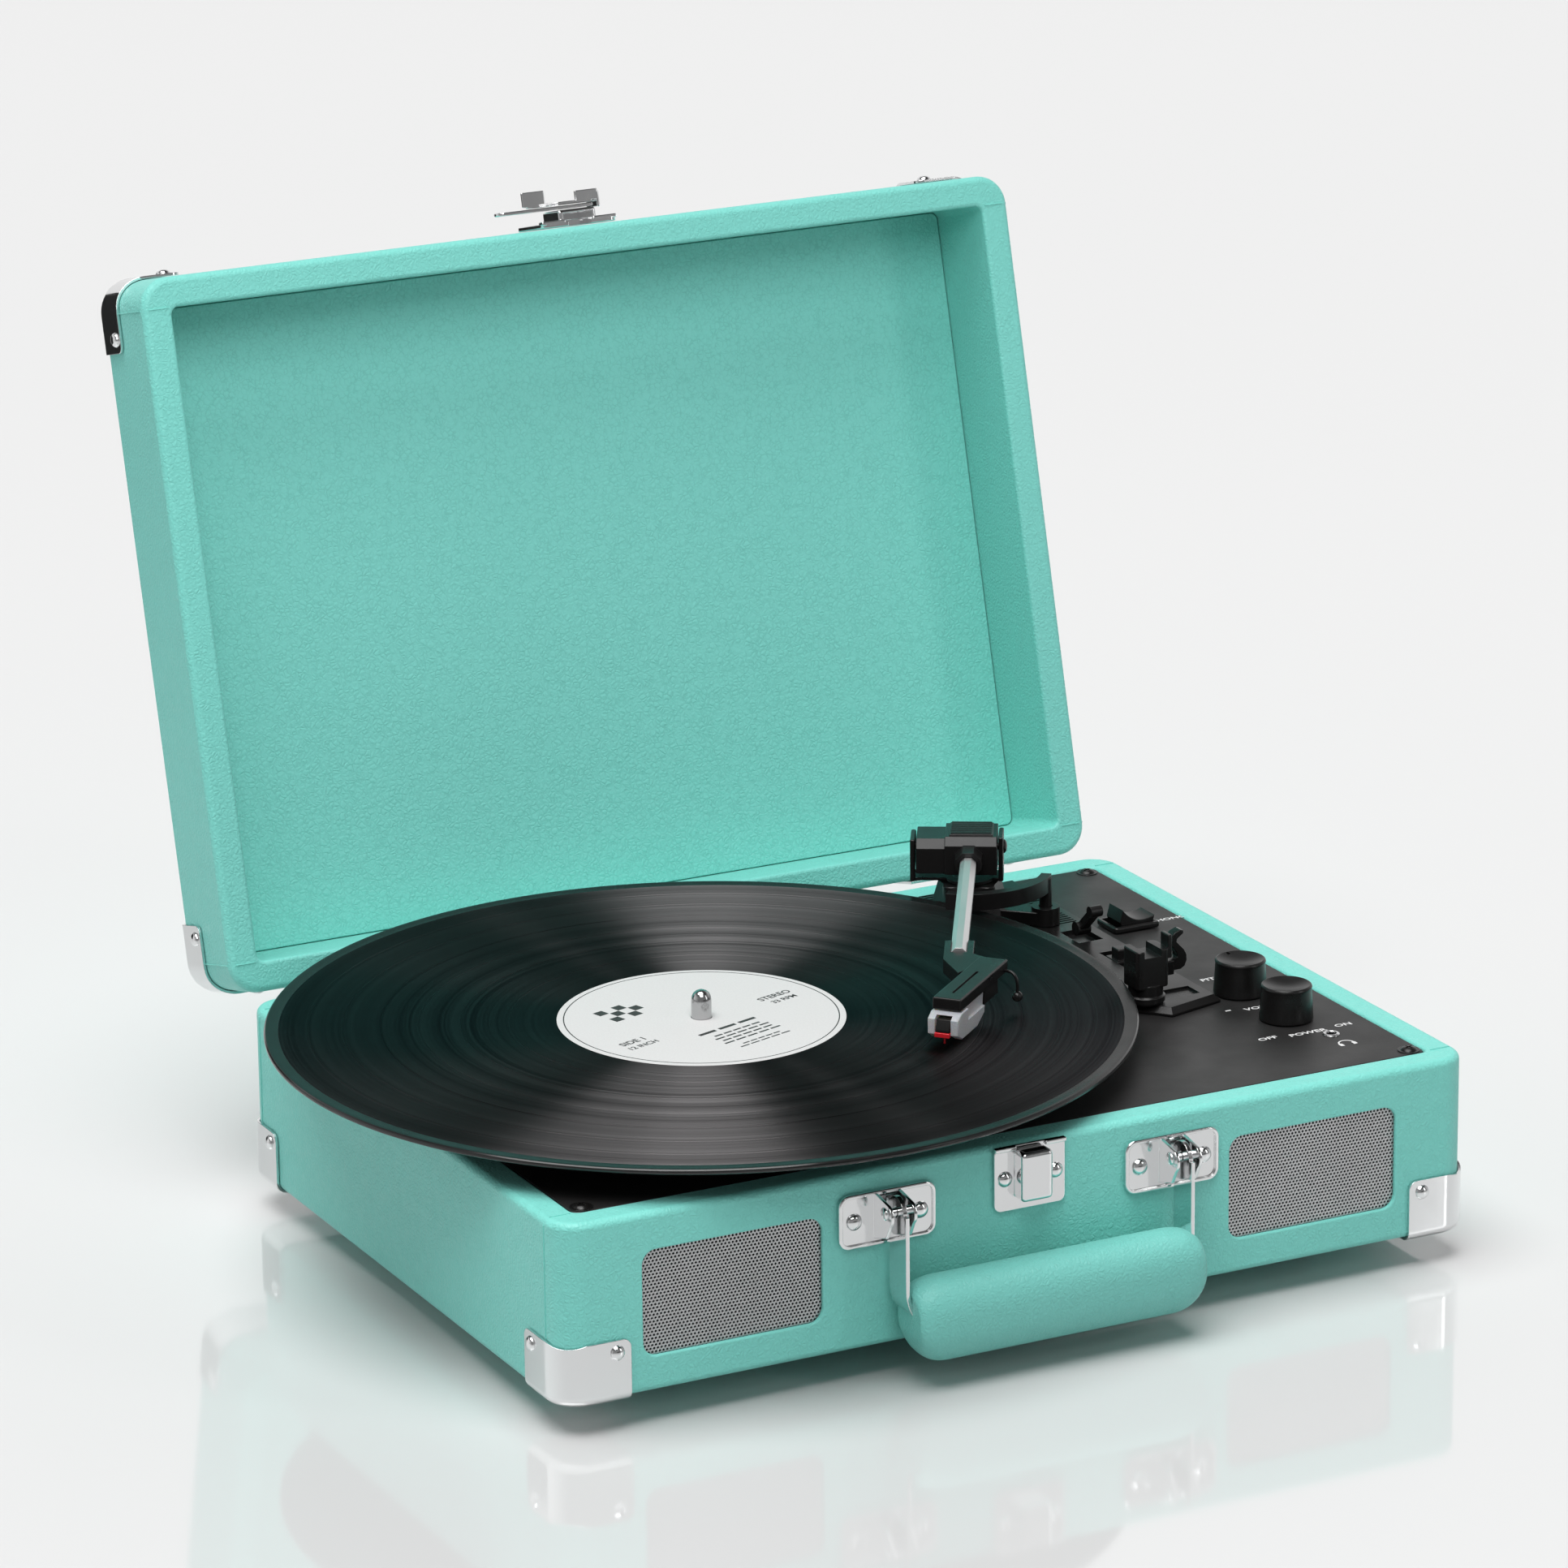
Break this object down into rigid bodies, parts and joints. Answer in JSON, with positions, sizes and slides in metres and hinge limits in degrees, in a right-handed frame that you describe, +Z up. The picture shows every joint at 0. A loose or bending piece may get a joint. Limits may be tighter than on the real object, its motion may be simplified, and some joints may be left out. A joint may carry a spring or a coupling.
{
  "type": "suitcase record player",
  "caption": "Portable record player in a wrapped suitcase with a hinged lid, drop handle, platter, record, tonearm and controls.",
  "frame": {"origin": "centre of the flat underside of the case, between the four feet", "axes": "+X to the right along the front, +Y to the back, +Z up"},
  "size_m": [0.3845, 0.3959, 0.3292],
  "materials": {
    "leatherette": "embossed leatherette, satin",
    "lining": "embossed leatherette lining, satin",
    "chrome": "polished",
    "aluminium": "satin",
    "steel": "brushed",
    "black_plastic": "fine satin texture",
    "deck_plastic": "fine matt texture",
    "vinyl": "grooved, glossy",
    "rubber": "matt",
    "felt": "felt",
    "white_plastic": "translucent satin",
    "red_plastic": "glossy",
    "board": "solder mask"
  },
  "bodies": {
    "base": {"base_case": "leatherette", "deck_panel": "deck_plastic", "foot_front_left": "rubber", "foot_front_right": "rubber", "foot_rear_left": "rubber", "foot_rear_right": "rubber", "base_bracket_front_left": "chrome", "base_bracket_front_right": "chrome", "base_bracket_rear_left": "chrome", "base_bracket_rear_right": "chrome", "speaker_grille_left": "aluminium", "speaker_grille_right": "aluminium", "speaker_driver_left": "black_plastic", "speaker_driver_right": "black_plastic", "circuit_board": "board", "motor": "steel", "drive_belt": "rubber", "platter_bearing": "steel", "tonearm_base": "black_plastic", "arm_module_plate": "black_plastic", "arm_rest_post": "black_plastic", "headphone_jack": "chrome", "rear_jack_panel": "black_plastic", "latch_striker": "chrome", "handle_plate_left": "chrome", "handle_plate_right": "chrome", "hinge_case_leaf_left": "chrome", "hinge_case_leaf_right": "chrome", "rocker_bezel": "black_plastic"},
    "lid": {"lid_shell": "leatherette", "lid_liner": "lining", "lid_bracket_front_left": "chrome", "lid_bracket_front_right": "chrome", "lid_bracket_rear_left": "chrome", "lid_bracket_rear_right": "chrome", "hinge_lid_leaf_left": "chrome", "hinge_lid_leaf_right": "chrome", "latch_plate": "chrome"},
    "platter": {"platter": "black_plastic", "slipmat": "felt", "record": "vinyl", "spindle": "chrome"},
    "motor_pulley": {"motor_pulley": "steel"},
    "tonearm_yoke": {"tonearm_yoke": "black_plastic"},
    "tonearm": {"arm_pivot_block": "black_plastic", "arm_tube": "aluminium", "headshell": "black_plastic", "cartridge": "white_plastic", "stylus": "red_plastic"},
    "lift_platform": {"lift_platform": "black_plastic"},
    "cue_lever": {"cue_lever": "black_plastic"},
    "arm_rest_clip": {"arm_rest_clip": "black_plastic"},
    "rocker_switch": {"rocker_switch": "black_plastic"},
    "speed_slider": {"speed_slider": "black_plastic"},
    "pitch_knob": {"pitch_knob": "black_plastic"},
    "volume_knob": {"volume_knob": "black_plastic"},
    "latch_lever": {"latch_lever": "chrome"},
    "latch_hasp": {"latch_hasp": "chrome"},
    "handle": {"handle_bail": "chrome", "handle_grip": "leatherette"}
  },
  "joints": [
    {"name": "lid_hinge", "type": "hinge", "parent": "base", "child": "lid", "pos_m": [0, 0.133, 0.0576], "axis": [-1, 0, 0], "range_deg": [-14.4, 0]},
    {"name": "platter_spin", "type": "hinge", "parent": "base", "child": "platter", "pos_m": [-0.057, 0.002, 0.07], "axis": [0, 0, 1], "continuous": true},
    {"name": "motor_pulley_spin", "type": "hinge", "parent": "base", "child": "motor_pulley", "pos_m": [0.01041, -0.05457, 0.067], "axis": [0, 0, 1], "continuous": true},
    {"name": "tonearm_swing", "type": "hinge", "parent": "base", "child": "tonearm_yoke", "pos_m": [0.091, 0.0805, 0.0808], "axis": [0, 0, 1], "range_deg": [-13, 35]},
    {"name": "tonearm_lift", "type": "hinge", "parent": "tonearm_yoke", "child": "tonearm", "pos_m": [0.09201, 0.08223, 0.092], "axis": [-0.8625, 0.506, 0], "range_deg": [0, 15]},
    {"name": "cue_lever_pivot", "type": "hinge", "parent": "base", "child": "cue_lever", "pos_m": [0.116, 0.042, 0.0686], "axis": [-1, 0, 0], "range_deg": [0, 80]},
    {"name": "lift_platform_slide", "type": "slide", "parent": "base", "child": "lift_platform", "axis": [0, 0, 1], "range_m": [0, 0.002]},
    {"name": "arm_rest_clip_pivot", "type": "hinge", "parent": "base", "child": "arm_rest_clip", "pos_m": [0.1095, -0.0262, 0.076], "axis": [0, 1, 0], "range_deg": [-25, 20]},
    {"name": "rocker_switch_tilt", "type": "hinge", "parent": "base", "child": "rocker_switch", "pos_m": [0.1405, 0.051, 0.063], "axis": [0, 1, 0], "range_deg": [-30, 0]},
    {"name": "speed_slider_slide", "type": "slide", "parent": "base", "child": "speed_slider", "axis": [0, 1, 0], "range_m": [-0.01, 0.002]},
    {"name": "pitch_knob_turn", "type": "hinge", "parent": "base", "child": "pitch_knob", "pos_m": [0.1382, -0.0325, 0.07], "axis": [0, 0, 1], "range_deg": [-140, 140]},
    {"name": "volume_knob_turn", "type": "hinge", "parent": "base", "child": "volume_knob", "pos_m": [0.1382, -0.064, 0.07], "axis": [0, 0, 1], "range_deg": [-140, 140]},
    {"name": "latch_lever_slide", "type": "slide", "parent": "lid", "child": "latch_lever", "axis": [1, 0, 0], "range_m": [0, 0.004]},
    {"name": "latch_hasp_pivot", "type": "hinge", "parent": "lid", "child": "latch_hasp", "pos_m": [0, 0.22689, 0.31214], "axis": [-1, 0, 0], "range_deg": [0, 80]},
    {"name": "handle_swing", "type": "hinge", "parent": "base", "child": "handle", "pos_m": [0, -0.1365, 0.05], "axis": [-1, 0, 0], "range_deg": [0, 105]}
  ],
  "couplings": [
    {"joint": "motor_pulley_spin", "follows": "platter_spin", "ratio": 14.2},
    {"joint": "cue_lever_pivot", "follows": "lift_platform_slide", "rad_per_m": 680}
  ]
}
